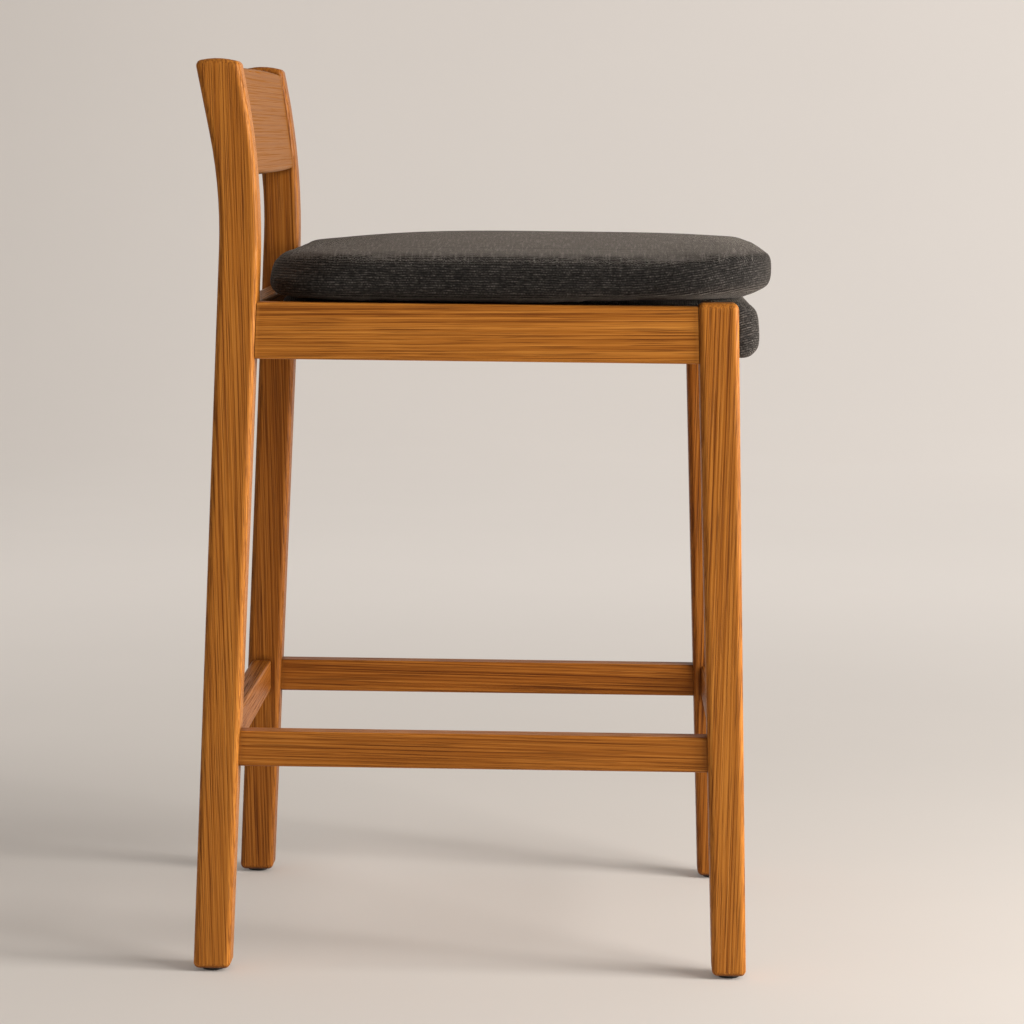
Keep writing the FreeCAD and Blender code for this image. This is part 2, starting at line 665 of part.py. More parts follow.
# ---------------------------------------------------------------- soft parts
def seat_pad_shape(label, inset):
    """The pad on the seat board with the nose that hangs over the front rail, inset all round."""
    body = new_body(label)
    profile = [
        (f"-(nose_out - {inset})", f"nose_low + {inset}"),
        (f"-({FRONT_RAIL_FACE} + {inset})", f"nose_low + {inset}"),
        (f"-({FRONT_RAIL_FACE} + {inset})", f"front_rail_high + {inset}"),
        (f"pad_back - {inset}", f"front_rail_high + {inset}"),
        (f"pad_back - {inset}", f"pad_top - {inset}"),
        (f"-(nose_out - {inset})", f"pad_top - {inset}"),
    ]
    pad(body, outline(body, "YZ_Plane", profile), f"2 * (pad_half_width - {inset})")
    fillet(body, f"nose_round_top - {inset}", lambda edge: runs_at(edge, *profile[5]))
    fillet(body, f"nose_round_low - {inset}", lambda edge: runs_at(edge, *profile[0]))
    under = size("front_rail_high") + 5
    behind_nose = -size(FRONT_RAIL_FACE) - 5

    def outer_edge(edge):
        centre = edge.BoundBox.Center
        in_side = flat_in_x(edge) and (centre.z > under or centre.y < behind_nose)
        return in_side or runs_at(edge, *profile[4])

    fillet(body, f"pad_round - {inset}", outer_edge)
    return body


def make_seat_pad():
    """A sewn cover with a foam slab over the board and a foam roll ahead of the front rail."""
    outside = seat_pad_shape("seat_pad_outside", "0")
    inside = seat_pad_shape("seat_pad_inside", "cover_skin")
    cover = cut("seat_pad_cover", outside, inside)
    filling = seat_pad_shape("seat_pad_filling", FILLING_INSET)
    ahead = box("ahead_of_front_rail", (f"-{INNER_FACE}", "-stool_depth", "0"),
                (f"2 * {INNER_FACE}", f"stool_depth - {FRONT_RAIL_FACE} - {FILLING_INSET}", "rear_leg_top"))
    slab = cut("seat_pad_foam", filling, ahead)
    roll = doc.addObject("Part::Common", "front_roll_foam")
    roll.Label = "front_roll_foam"
    roll.Base = filling
    roll.Tool = ahead
    return [cover, slab, roll]


def cushion_shape(label, inset):
    """A cushion with wide round corners and soft edges, inset all round."""
    body = new_body(label)
    wide = f"(cushion_half_width - {inset})"
    plan = rectangle(f"-{wide}", f"-(stool_depth / 2 - {inset})", wide, f"cushion_back - {inset}")
    sketch = outline(body, "XY_Plane", plan, lift="(cushion_low + cushion_high) / 2")
    pad(body, sketch, f"cushion_high - cushion_low - 2 * {inset}")
    fillet(body, f"cushion_corner - {inset}", lambda edge: edge.BoundBox.ZLength > 1)
    top = size("cushion_high") - 2
    low = size("cushion_low") + 2
    fillet(body, f"cushion_round_top - {inset}", lambda edge: edge.BoundBox.ZMin > top)
    fillet(body, f"cushion_round_low - {inset}", lambda edge: edge.BoundBox.ZMax < low)
    return body


def make_cushion():
    """The loose cushion: a zipped cover over a foam core."""
    outside = cushion_shape("cushion_outside", "0")
    inside = cushion_shape("cushion_inside", "cover_skin")
    cover = cut("cushion_cover", outside, inside)
    core = cushion_shape("cushion_foam", FILLING_INSET)
    tape = box("cushion_zip_tape", ("-zip_length / 2", "cushion_back", "zip_up - zip_height / 2"),
               ("zip_length", "zip_thickness", "zip_height"))
    slider = box("cushion_zip_slider",
                 ("zip_length / 2 - 3 * zip_slider_length", "cushion_back + zip_thickness",
                  "zip_up - zip_slider_height / 2"),
                 ("zip_slider_length", "zip_slider_thickness", "zip_slider_height"))
    return [cover, core, tape, slider]


# ---------------------------------------------------------------- the stool
subparts = []
for name, side in SIDES.items():
    subparts.append(make_rear_leg(name, side))
    subparts.append(make_front_leg(name, side))
    rail = make_side_member(f"side_rail_{name}", side, "rail_low", "rail_high", RAIL_MIDDLE, "rail_thickness")
    drill_side_rail(rail, side)
    subparts.append(rail)
    subparts.append(make_side_member(f"side_stretcher_{name}", side, "stretcher_low", "stretcher_high",
                                     STRETCHER_MIDDLE, "stretcher_thickness"))
    subparts.append(make_cleat(name, side))
    subparts.append(make_corner_block(f"front_{name}", side, -1))
    subparts.append(make_corner_block(f"rear_{name}", side, 1))

subparts.append(make_cross_member("rear_rail", "rear_rail_front", "rear_rail_thickness",
                                  REAR_RAIL_LOW, REAR_RAIL_HIGH))
subparts.append(make_cross_member("front_rail", f"-{FRONT_RAIL_FACE}", "front_rail_thickness",
                                  "rail_low", "front_rail_high"))
subparts.append(make_cross_member("rear_stretcher", "rear_stretcher_front", "rear_stretcher_thickness",
                                  "stretcher_low", "stretcher_high"))
subparts.append(make_cross_member("footrest", f"-{FOOTREST_FACE}", "footrest_thickness",
                                  "stretcher_low", "stretcher_high"))
subparts.append(make_back_panel())
subparts.append(make_seat_board())
subparts += make_screws()
for name, side, along in foot_centres():
    subparts.append(make_glide(name, side, along))
subparts.append(make_glide_nails())
subparts += make_seat_pad()
subparts += make_cushion()

# ---------------------------------------------------------------- checks and files
doc.recompute()
for item in doc.Objects:
    if "Invalid" in item.State or "Error" in item.State:
        raise RuntimeError(f"{item.Label} did not compute: {item.State}")

os.makedirs("parts", exist_ok=True)
for item in subparts:
    shape = item.Shape
    if shape.isNull() or not shape.isValid() or not shape.Solids:
        raise RuntimeError(f"{item.Label} has no valid solid")
    shape.exportStep(os.path.join("parts", f"{item.Label}.step"))
    print(f"{item.Label}: {len(shape.Solids)} solids, {shape.Volume / 1000:.1f} cm3")
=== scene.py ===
import math

import bpy
import numpy as np
from mathutils import Matrix, Vector
from mathutils.bvhtree import BVHTree


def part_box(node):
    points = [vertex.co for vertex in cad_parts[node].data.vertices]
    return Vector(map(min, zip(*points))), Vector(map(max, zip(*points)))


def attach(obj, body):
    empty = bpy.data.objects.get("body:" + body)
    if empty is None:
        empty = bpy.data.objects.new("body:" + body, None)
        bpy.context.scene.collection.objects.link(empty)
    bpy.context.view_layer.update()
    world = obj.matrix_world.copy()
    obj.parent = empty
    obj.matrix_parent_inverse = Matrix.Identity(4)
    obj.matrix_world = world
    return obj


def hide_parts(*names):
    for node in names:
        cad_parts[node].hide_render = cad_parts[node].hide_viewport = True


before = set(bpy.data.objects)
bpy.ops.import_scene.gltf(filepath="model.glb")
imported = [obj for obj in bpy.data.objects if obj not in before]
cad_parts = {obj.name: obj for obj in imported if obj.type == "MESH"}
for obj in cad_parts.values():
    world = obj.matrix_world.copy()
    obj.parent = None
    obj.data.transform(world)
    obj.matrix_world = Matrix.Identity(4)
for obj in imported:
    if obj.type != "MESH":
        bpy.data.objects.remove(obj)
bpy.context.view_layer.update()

SCENE = bpy.context.scene
SCENE.view_settings.view_transform = "Standard"


# ------------------------------------------------------------------ camera, floor and light
def add_camera():
    """A long lens just above seat height, looking almost square at the sitter's right side."""
    yaw, pitch, roll = (math.radians(angle) for angle in (-1.2008, 6.1524, 0.6230))
    level = Vector((math.cos(yaw), -math.sin(yaw), 0))
    side = Vector((-math.sin(yaw), -math.cos(yaw), 0))
    up = Vector((0, 0, 1))
    ahead = level * math.cos(pitch) - up * math.sin(pitch)
    up = up * math.cos(pitch) + level * math.sin(pitch)
    right = side * math.cos(roll) + up * math.sin(roll)
    up = up * math.cos(roll) - side * math.sin(roll)
    data = bpy.data.cameras.new("camera")
    data.sensor_width = 36
    data.lens = 124.64
    camera = bpy.data.objects.new("camera", data)
    camera.matrix_world = Matrix.Translation((-3.43721, -0.09473, 0.77525)) @ Matrix(
        (right, up, -ahead)).transposed().to_4x4()
    SCENE.collection.objects.link(camera)
    SCENE.camera = camera


FLOOR_GLOW, WALL_GLOW = 0.10, 0.375
LAMP_COLOUR = (1.0, 0.97, 0.93)


def add_stage():
    """A seamless pale floor that turns up into a wall all round, well outside every view. The paper glows
    as painted light: faintly on the floor, more on the wall, less towards +y and on the camera's side.
    """
    flat, bend, wall = 4.9, 2.2, 4.0
    profile = [(0.0, 0.0), (1.5, 0.0), (3.2, 0.0), (flat, 0.0)]
    profile += [(flat + bend * math.sin(a), bend * (1 - math.cos(a)))
                for a in np.linspace(0, math.pi / 2, 16)[1:]]
    profile += [(flat + bend, wall)]
    turns = 96
    points, faces = [], []
    for out, high in profile:
        points += [(out * math.cos(2 * math.pi * k / turns), out * math.sin(2 * math.pi * k / turns), high)
                   for k in range(turns)]
    for ring in range(len(profile) - 1):
        for k in range(turns):
            a, b = ring * turns + k, ring * turns + (k + 1) % turns
            faces.append((a, b, b + turns, a + turns))
    mesh = bpy.data.meshes.new("studio_floor")
    mesh.from_pydata(points, [], faces)
    mesh.polygons.foreach_set("use_smooth", [True] * len(mesh.polygons))
    floor = bpy.data.objects.new("studio_floor", mesh)
    SCENE.collection.objects.link(floor)
    paper = Nodes("glowing_studio_paper")
    grain = paper.noise(paper.place, 2.2, 3)
    x, y, z = paper.split(paper.place)
    out = paper.add("ShaderNodeVectorMath", operation="LENGTH")
    paper.set(out.inputs[0], paper.join(x, y))
    # Painted light: the glow rises from floor to wall, falls off towards +y and is weaker on the camera's
    # side.
    glow = paper.add("ShaderNodeMapRange", {"Value": out.outputs["Value"], "From Min": 0.3, "From Max": 3.0,
                                            "To Min": FLOOR_GLOW, "To Max": WALL_GLOW},
                     interpolation_type="SMOOTHSTEP").outputs[0]
    across = paper.ramp(paper.math("MULTIPLY_ADD", y, 0.125, 0.5),
                        [(0.125, 0.75), (0.3875, 0.56), (0.6125, 0.43), (0.875, 0.15)])
    behind = paper.add("ShaderNodeMapRange", {"Value": x, "From Min": -3.0, "From Max": 0.0, "To Min": 0.8,
                                              "To Max": 2.0}).outputs[0]
    glow = paper.math("MULTIPLY", glow, paper.math("MULTIPLY", across, behind))
    paper.set(paper.shader.inputs["Emission Strength"], glow)
    paper.shader.inputs["Emission Color"].default_value = (1.0, 0.935, 0.875, 1)
    paper.finish(colour=paper.mix(grain, (0.585, 0.548, 0.514), (0.615, 0.576, 0.540)), roughness=0.9,
                 specular=0.1)
    mesh.materials.append(paper.material)


def add_light(name, place, target, size, power, spread):
    data = bpy.data.lights.new(name, "AREA")
    data.shape = "SQUARE"
    data.size = size
    data.energy = power
    data.color = LAMP_COLOUR
    data.spread = math.radians(spread)
    light = bpy.data.objects.new(name, data)
    light.location = place
    light.rotation_mode = "QUATERNION"
    light.rotation_quaternion = (Vector(target) - Vector(place)).to_track_quat("-Z", "Y")
    SCENE.collection.objects.link(light)


def add_lights():
    world = bpy.data.worlds.new("studio_world")
    world.use_nodes = True
    sky = world.node_tree.nodes["Background"]
    sky.inputs["Color"].default_value = (*LAMP_COLOUR, 1)
    sky.inputs["Strength"].default_value = 0.36
    SCENE.world = world
    add_light("key", (-1.7, -2.5, 2.5), (0, -0.35, 0.75), 1.5, 33, spread=130)
    add_light("front_strip", (-0.7, -2.6, 0.9), (0, 0, 0.62), 0.9, 34, spread=110)


# ------------------------------------------------------------------ materials
class Nodes:
    """A material's node tree, written as a few short calls."""

    def __init__(self, name):
        self.material = bpy.data.materials.new(name)
        self.material.use_nodes = True
        self.tree = self.material.node_tree
        self.shader = self.tree.nodes["Principled BSDF"]
        self.place = self.add("ShaderNodeTexCoord").outputs["Object"]

    def add(self, kind, values=(), **settings):
        node = self.tree.nodes.new(kind)
        for key, value in settings.items():
            setattr(node, key, value)
        for key, value in dict(values).items():
            self.set(node.inputs[key], value)
        return node

    def set(self, socket, value):
        if isinstance(value, bpy.types.NodeSocket):
            self.tree.links.new(value, socket)
        elif isinstance(value, tuple) and socket.type == "RGBA" and len(value) == 3:
            socket.default_value = (*value, 1)
        else:
            socket.default_value = value

    def math(self, operation, *values, clamp=False):
        node = self.add("ShaderNodeMath", operation=operation, use_clamp=clamp)
        for socket, value in zip(node.inputs, values):
            self.set(socket, value)
        return node.outputs[0]

    def split(self, vector):
        return self.add("ShaderNodeSeparateXYZ", {"Vector": vector}).outputs[:3]

    def join(self, x, y, z=0.0):
        return self.add("ShaderNodeCombineXYZ", {"X": x, "Y": y, "Z": z}).outputs[0]

    def scaled(self, vector, factors):
        node = self.add("ShaderNodeVectorMath", operation="MULTIPLY")
        self.set(node.inputs[0], vector)
        self.set(node.inputs[1], factors)
        return node.outputs[0]

    def noise(self, vector, scale, detail=2.0, rough=0.55):
        return self.add("ShaderNodeTexNoise", {"Vector": vector, "Scale": scale, "Detail": detail,
                                               "Roughness": rough}).outputs[0]

    def ramp(self, value, stops, ease="LINEAR"):
        node = self.add("ShaderNodeValToRGB", {"Fac": value})
        band = node.color_ramp
        band.interpolation = ease
        while len(band.elements) < len(stops):
            band.elements.new(0.5)
        for element, (where, colour) in zip(band.elements, stops):
            element.position = where
            element.color = (*colour, 1) if isinstance(colour, tuple) else (colour, colour, colour, 1)
        return node.outputs[0]

    def mix(self, share, first, second):
        node = self.add("ShaderNodeMix", data_type="RGBA")
        self.set(node.inputs["Factor"], share)
        self.set(node.inputs[6], first)
        self.set(node.inputs[7], second)
        return node.outputs[2]

    def bump(self, height, depth, strength=1.0):
        return self.add("ShaderNodeBump", {"Height": height, "Distance": depth,
                                           "Strength": strength}).outputs[0]

    def edges(self, radius):
        """1 on the arrises, 0 on the flats."""
        soft = self.add("ShaderNodeBevel", {"Radius": radius}, samples=4).outputs[0]
        sharp = self.add("ShaderNodeNewGeometry").outputs["Normal"]
        turn = self.add("ShaderNodeVectorMath", operation="DOT_PRODUCT")
        self.set(turn.inputs[0], soft)
        self.set(turn.inputs[1], sharp)
        return self.math("MULTIPLY", self.math("SUBTRACT", 1.0, turn.outputs["Value"]), 9.0, clamp=True)

    def finish(self, colour, roughness, specular=0.5, normal=None, **constants):
        self.set(self.shader.inputs["Base Color"], colour)
        self.set(self.shader.inputs["Roughness"], roughness)
        self.shader.inputs["Specular IOR Level"].default_value = specular
        if normal is not None:
            self.set(self.shader.inputs["Normal"], normal)
        for key, value in constants.items():
            self.shader.inputs[key.replace("_", " ")].default_value = value
        return self.material


def wood(name, along, pith, tones, ring=0.0034, slant=(0.0, 0.0), figure=1.0, pores=1.0,
         gloss=1.3, length=1.0):
    """Oiled open-pored hardwood. along is the axis of the fibres, pith where the middle of the
    tree lies beside the piece, slant how far the fibres run off the piece, figure and pores the
    contrast of the rings and of the pores, length how long the streaks are."""
    n = Nodes(name)
    x, y, z = n.split(n.place)
    axes = {"x": (y, z, x), "y": (x, z, y), "z": (x, y, z)}[along]
    across = [n.math("MULTIPLY_ADD", axes[2], lean, axis) for axis, lean in zip(axes[:2], slant)]
    fibre = n.join(across[0], across[1], n.math("DIVIDE", axes[2], length))
    drift = n.noise(n.scaled(fibre, (12.0, 12.0, 1.7)), 1.0, 2)
    off = n.math("MULTIPLY_ADD", drift, 0.018, -0.009)
    radius = n.add("ShaderNodeVectorMath", operation="LENGTH")
    n.set(radius.inputs[0], n.join(n.math("ADD", n.math("SUBTRACT", across[0], pith[0]), off),
                                   n.math("SUBTRACT", across[1], pith[1])))
    year = n.math("DIVIDE", radius.outputs["Value"], ring)
    ridge = n.ramp(n.math("FRACT", year),
                   [(0.0, 0.35), (0.22, 0.05), (0.62, 0.30), (0.93, 1.0), (1.0, 0.35)], "EASE")
    vigour = n.noise(n.join(n.math("FLOOR", year), 0.0, 0.0), 0.83, 0)
    streak = n.noise(n.scaled(fibre, (560.0, 560.0, 2.4)), 1.0, 4, 0.72)
    strand = n.noise(n.scaled(fibre, (1150.0, 1150.0, 7.0)), 1.0, 3, 0.75)
    pore = n.ramp(n.noise(n.scaled(fibre, (1000.0, 1000.0, 9.0)), 1.0, 2, 0.6), [(0.55, 0.0), (0.61, 1.0)])
    cloud = n.noise(n.scaled(fibre, (9.0, 9.0, 3.0)), 1.0, 2)
    vein = n.ramp(streak, [(0.55, 0.0), (0.64, 1.0)])
    tone = n.math("MULTIPLY", n.math("MULTIPLY", ridge, vigour), 0.55 * figure)
    tone = n.math("MULTIPLY_ADD", n.math("SUBTRACT", streak, 0.5), 1.30 * figure, tone)
    tone = n.math("MULTIPLY_ADD", n.math("SUBTRACT", strand, 0.5), 1.25 * figure, tone)
    tone = n.math("MULTIPLY_ADD", n.math("SUBTRACT", cloud, 0.5), 0.45, tone)
    tone = n.math("MULTIPLY_ADD", vein, 0.34 * figure, tone)
    tone = n.math("ADD", tone, 0.335, clamp=True)
    light, middle, dark = tones
    colour = n.ramp(tone, [(0.0, light), (0.48, middle), (1.0, dark)])
    colour = n.mix(n.math("MULTIPLY", pore, 0.70 * pores), colour, tuple(c * 0.75 for c in dark))
    # Lighter arrises: partly wear, partly a painted highlight along the rounded edges.
    wear_and_highlight = n.edges(0.006)
    wear_and_highlight_tone = tuple(min(1.0, c * 1.25) for c in light)
    colour = n.mix(n.math("MULTIPLY", wear_and_highlight, 0.36), colour, wear_and_highlight_tone)
    # Painted shade: the colour darkens towards the dark tone in corners and where parts meet.
    corner = n.add("ShaderNodeAmbientOcclusion", {"Distance": 0.007}, samples=4).outputs["AO"]
    colour = n.mix(n.ramp(corner, [(0.45, 0.75), (0.95, 0.0)]), colour, tuple(c * 0.6 for c in dark))
    rough = n.math("MULTIPLY_ADD", strand, 0.22, 0.30)
    rough = n.math("MULTIPLY_ADD", pore, 0.20, rough)
    rough = n.math("MULTIPLY_ADD", wear_and_highlight, -0.06, rough)
    height = n.math("MULTIPLY_ADD", pore, -0.7 * pores, n.math("MULTIPLY_ADD", ridge, 0.35, strand))
    return n.finish(colour, rough, 0.30, n.bump(height, 0.00022, 0.6), IOR=gloss)


def pale_wood(name, along, layers=None):
    """Raw wood out of sight: blocks and cleats, or with layers the seat board's plywood."""
    n = Nodes(name)
    x, y, z = n.split(n.place)
    axes = {"x": (y, z, x), "y": (x, z, y), "z": (x, y, z)}[along]
    fibre = n.join(*axes)
    streak = n.noise(n.scaled(fibre, (150.0, 150.0, 4.0)), 1.0, 3, 0.6)
    strand = n.noise(n.scaled(fibre, (1200.0, 1200.0, 40.0)), 1.0, 2)
    fleck = n.ramp(n.noise(n.scaled(fibre, (500.0, 500.0, 60.0)), 1.0, 1), [(0.63, 0.0), (0.72, 1.0)])
    tone = n.math("MULTIPLY_ADD", strand, 0.35, n.math("MULTIPLY", streak, 0.65))
    colour = n.ramp(tone, [(0.25, (0.66, 0.47, 0.27)), (0.5, (0.54, 0.36, 0.19)),
                           (0.75, (0.38, 0.23, 0.11))])
    colour = n.mix(n.math("MULTIPLY", fleck, 0.35), colour, (0.22, 0.12, 0.05))
    if layers:
        low, count, thick = layers
        ply = n.math("MULTIPLY", n.math("SUBTRACT", z, low), count / thick)
        turned = n.math("MODULO", n.math("FLOOR", ply), 2.0)
        glue = n.ramp(n.math("FRACT", ply), [(0.0, 1.0), (0.10, 0.0), (0.90, 0.0), (1.0, 1.0)])
        side = n.math("SUBTRACT", 1.0, n.math("ABSOLUTE", n.split(
            n.add("ShaderNodeNewGeometry").outputs["Normal"])[2]))
        side = n.math("GREATER_THAN", side, 0.5)
        crossed = n.math("MULTIPLY", n.math("MULTIPLY", turned, side), 0.45)
        colour = n.mix(crossed, colour, (0.30, 0.17, 0.08))
        glued = n.math("MULTIPLY", n.math("MULTIPLY", glue, side), 0.6)
        colour = n.mix(glued, colour, (0.09, 0.05, 0.03))
    return n.finish(colour, n.math("MULTIPLY_ADD", strand, 0.2, 0.6), 0.3, n.bump(strand, 0.0002, 0.5))


def woven(name, tones, panels=False, warp=0.0013, weft=0.0022):
    """Coarse charcoal cloth. The weft, which is thicker and uneven, makes ribs along the cloth's
    first coordinate, and the warp crosses them. With panels, a plain seam joins the band round the
    side to a flat panel below, and the weave runs on over the top."""
    n = Nodes(name)
    cloth = n.add("ShaderNodeUVMap", uv_map="cloth").outputs[0]
    ditch = 0.0
    if panels:
        flat = n.add("ShaderNodeUVMap", uv_map="panel").outputs[0]
        over_top, above_seam, _ = n.split(n.add("ShaderNodeUVMap", uv_map="rim").outputs[0])
        scatter = n.math("MULTIPLY_ADD", n.noise(cloth, 420.0, 1), 0.040, -0.021)
        on_panel = n.math("MAXIMUM", n.math("GREATER_THAN", n.math("ADD", over_top, scatter), 0.0),
                          n.math("LESS_THAN", above_seam, 0.0))
        ditch = n.ramp(n.math("DIVIDE", n.math("ABSOLUTE", above_seam), 0.0040),
                       [(0.0, 1.0), (0.22, 0.45), (1.0, 0.0)], "EASE")
        cloth = n.mix(on_panel, cloth, flat)
    u, v, _ = n.split(cloth)
    wander = n.noise(cloth, 75.0, 3)
    pull = n.math("MULTIPLY_ADD", wander, 0.0022, -0.0011)
    u = n.math("DIVIDE", n.math("ADD", u, pull), warp)
    v = n.math("DIVIDE", n.math("ADD", v, pull), weft)
    wave_u = n.math("SINE", n.math("MULTIPLY", u, math.pi))
    wave_v = n.math("SINE", n.math("MULTIPLY", v, math.pi))
    over = n.math("MULTIPLY_ADD", n.math("MULTIPLY", wave_u, wave_v), 0.55, 0.42, clamp=True)
    row, column = n.math("FLOOR", v), n.math("FLOOR", u)
    slub = n.noise(n.join(n.math("MULTIPLY", u, 0.11), n.math("MULTIPLY", row, 3.7), 0.0), 1.0, 3, 0.7)
    twist = n.noise(n.join(n.math("MULTIPLY", column, 5.3), n.math("MULTIPLY", v, 0.16), 4.0), 1.0, 3, 0.7)
    high_weft = n.math("MULTIPLY", n.math("ABSOLUTE", wave_v), n.math("MULTIPLY_ADD", slub, 0.9, 0.45))
    high_warp = n.math("MULTIPLY", n.math("ABSOLUTE", wave_u), n.math("MULTIPLY_ADD", twist, 0.8, 0.15))
    shape = n.math("MAXIMUM",
                   n.math("MULTIPLY", high_weft, n.math("MULTIPLY_ADD", over, -0.22, 1.0)),
                   n.math("MULTIPLY", high_warp, n.math("MULTIPLY_ADD", over, 0.42, 0.25)))
    fuzz = n.noise(n.scaled(cloth, (240.0, 800.0, 1.0)), 1.0, 3, 0.75)
    patch = n.noise(cloth, 22.0, 3)
    yarn = n.math("ADD", n.math("MULTIPLY", n.math("SUBTRACT", 1.0, over), slub),
                  n.math("MULTIPLY", over, twist))
    tone = n.math("MULTIPLY_ADD", n.math("SUBTRACT", yarn, 0.5), 1.9, n.math("MULTIPLY", shape, 0.66))
    tone = n.math("MULTIPLY_ADD", n.math("SUBTRACT", fuzz, 0.5), 2.6, tone)
    tone = n.math("MULTIPLY_ADD", n.math("SUBTRACT", patch, 0.5), 0.18, tone)
    if panels:
        nap = n.noise(n.scaled(flat, (430.0, 34.0, 1.0)), 1.0, 3, 0.75)
        nap = n.math("MULTIPLY", n.math("SUBTRACT", nap, 0.52), n.math("MULTIPLY", on_panel, 5.0))
        tone = n.math("ADD", tone, nap)
    tone = n.math("ADD", tone, 0.03, clamp=True)
    colour = n.ramp(tone, [(0.0, tones[0]), (0.45, tones[1]), (0.78, tones[2]), (1.0, tones[3])])
    height = n.math("MULTIPLY_ADD", fuzz, 0.35, shape)
    if panels:
        # Painted shade: the colour darkens in the seam's groove.
        colour = n.mix(n.math("MULTIPLY", ditch, 0.55), colour, tones[0])
        height = n.math("MULTIPLY_ADD", ditch, -0.9, height)
    # Painted shade: the cloth darkens where other surfaces are close, as under the cushion and beside the
    # rails.
    corner = n.add("ShaderNodeAmbientOcclusion", {"Distance": 0.016}, samples=4).outputs["AO"]
    colour = n.mix(n.ramp(corner, [(0.15, 0.9), (0.75, 0.0)]), colour, tuple(c * 0.4 for c in tones[0]))
    return n.finish(colour, n.math("MULTIPLY_ADD", shape, -0.12, 0.95), 0.15, n.bump(height, 0.0008, 0.85),
                    Sheen_Weight=0.18, Sheen_Roughness=0.36, Sheen_Tint=(1.0, 0.87, 0.76, 1))


def thread(name, tone):
    n = Nodes(name)
    wave = n.add("ShaderNodeTexWave", {"Vector": n.place, "Scale": 900.0, "Distortion": 2.0})
    strands = wave.outputs["Fac"]
    colour = n.mix(strands, tuple(c * 0.6 for c in tone), tone)
    return n.finish(colour, 0.7, 0.3, n.bump(strands, 0.0001, 0.5))


def plastic(name, tone):
    n = Nodes(name)
    grain = n.noise(n.place, 1800.0, 3)
    scuff = n.ramp(n.noise(n.scaled(n.place, (60.0, 400.0, 200.0)), 1.0, 3), [(0.55, 0.0), (0.75, 1.0)])
    colour = n.mix(n.math("MULTIPLY", scuff, 0.5), tone, tuple(c * 2.2 + 0.01 for c in tone))
    return n.finish(colour, n.math("MULTIPLY_ADD", grain, 0.25, 0.38), 0.4, n.bump(grain, 0.00012, 0.5))


def steel(name, tone, rough=0.32):
    n = Nodes(name)
    brush = n.noise(n.scaled(n.place, (3000.0, 200.0, 200.0)), 1.0, 3)
    stain = n.noise(n.place, 160.0, 3)
    colour = n.mix(stain, tuple(c * 0.75 for c in tone), tone)
    return n.finish(colour, n.math("MULTIPLY_ADD", brush, 0.2, rough - 0.1), 0.5,
                    n.bump(brush, 0.00006, 0.4), Metallic=1.0)


# ------------------------------------------------------------------ wooden and hard parts
# The two sets after HONEY are darker copies of it: painted shade for the near side's bars and the footrest,
# and for the far side's legs and bars and the rear stretcher.
HONEY = ((0.594, 0.239, 0.0405), (0.396, 0.133, 0.0162), (0.149, 0.0378, 0.0036))
SHADED = ((0.524, 0.202, 0.034), (0.34, 0.109, 0.0129), (0.129, 0.0322, 0.00276))
FAR_SHADED = ((0.432, 0.16, 0.0252), (0.261, 0.0792, 0.00855), (0.104, 0.0252, 0.00225))
TAN = ((0.276, 0.104, 0.0150), (0.216, 0.0735, 0.0080), (0.128, 0.0390, 0.0040))


def paint(node, material):
    """Gives a CAD node a finished material in place of its plain one."""
    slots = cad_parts[node].material_slots
    if not slots:
        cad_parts[node].data.materials.append(material)
    for slot in slots:
        slot.material = material


def finish_hard_parts():
    # The far, left side takes the darkest copy of the wood as painted shade.
    for side, sign, leg_tones, bar_tones in (("right", -1, HONEY, SHADED), ("left", 1, FAR_SHADED, FAR_SHADED)):
        paint(f"rear_leg_{side}", wood(f"wood_rear_leg_{side}", "z", (sign * 0.16, 0.07), leg_tones,
                                       slant=(0.0, -0.035)))
        paint(f"front_leg_{side}", wood(f"wood_front_leg_{side}", "z", (sign * 0.31, -0.34), leg_tones,
                                        slant=(0.0, 0.02)))
        paint(f"side_rail_{side}", wood(f"wood_side_rail_{side}", "y", (sign * 0.17, 0.50), HONEY,
                                        ring=0.0058, slant=(0.0, 0.012)))
        paint(f"side_stretcher_{side}", wood(f"wood_side_stretcher_{side}", "y", (sign * 0.18, 0.11),
                                             bar_tones, slant=(0.0, -0.015)))
        paint(f"side_cleat_{side}", pale_wood(f"raw_cleat_{side}", "y"))
        for end in ("front", "rear"):
            paint(f"corner_block_{end}_{side}", pale_wood(f"raw_block_{end}_{side}", "x"))
            paint(f"glide_{end}_{side}", plastic(f"glide_plastic_{end}_{side}", (0.014, 0.013, 0.012)))
    paint("back_panel", wood("wood_back_panel", "x", (0.16, 0.70), TAN, ring=0.0040, figure=0.62,
                             pores=0.15, gloss=1.14, length=3.2))
    paint("rear_rail", wood("wood_rear_rail", "x", (0.17, 0.50), HONEY))
    paint("front_rail", wood("wood_front_rail", "x", (-0.17, 0.50), HONEY))
    paint("rear_stretcher", wood("wood_rear_stretcher", "x", (0.30, 0.12), FAR_SHADED))
    paint("footrest", wood("wood_footrest", "x", (-0.30, 0.13), SHADED))
    low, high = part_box("seat_board")
    paint("seat_board", pale_wood("plywood", "x", layers=(low.z, 7, high.z - low.z)))
    paint("cleat_screws", steel("cleat_screw_steel", (0.62, 0.55, 0.40)))
    paint("seat_board_screws", steel("board_screw_steel", (0.62, 0.55, 0.40)))
    paint("glide_nails", steel("nail_steel", (0.55, 0.55, 0.55)))


# ------------------------------------------------------------------ soft shapes
def new_piece(name, points, faces):
    mesh = bpy.data.meshes.new(name)
    mesh.from_pydata([tuple(p) for p in points], [], faces)
    mesh.validate()
    mesh.update()
    piece = bpy.data.objects.new(name, mesh)
    SCENE.collection.objects.link(piece)
    return piece


def smooth_step(value, start, end):
    share = np.clip((value - start) / (end - start), 0, 1)
    return share * share * (3 - 2 * share)


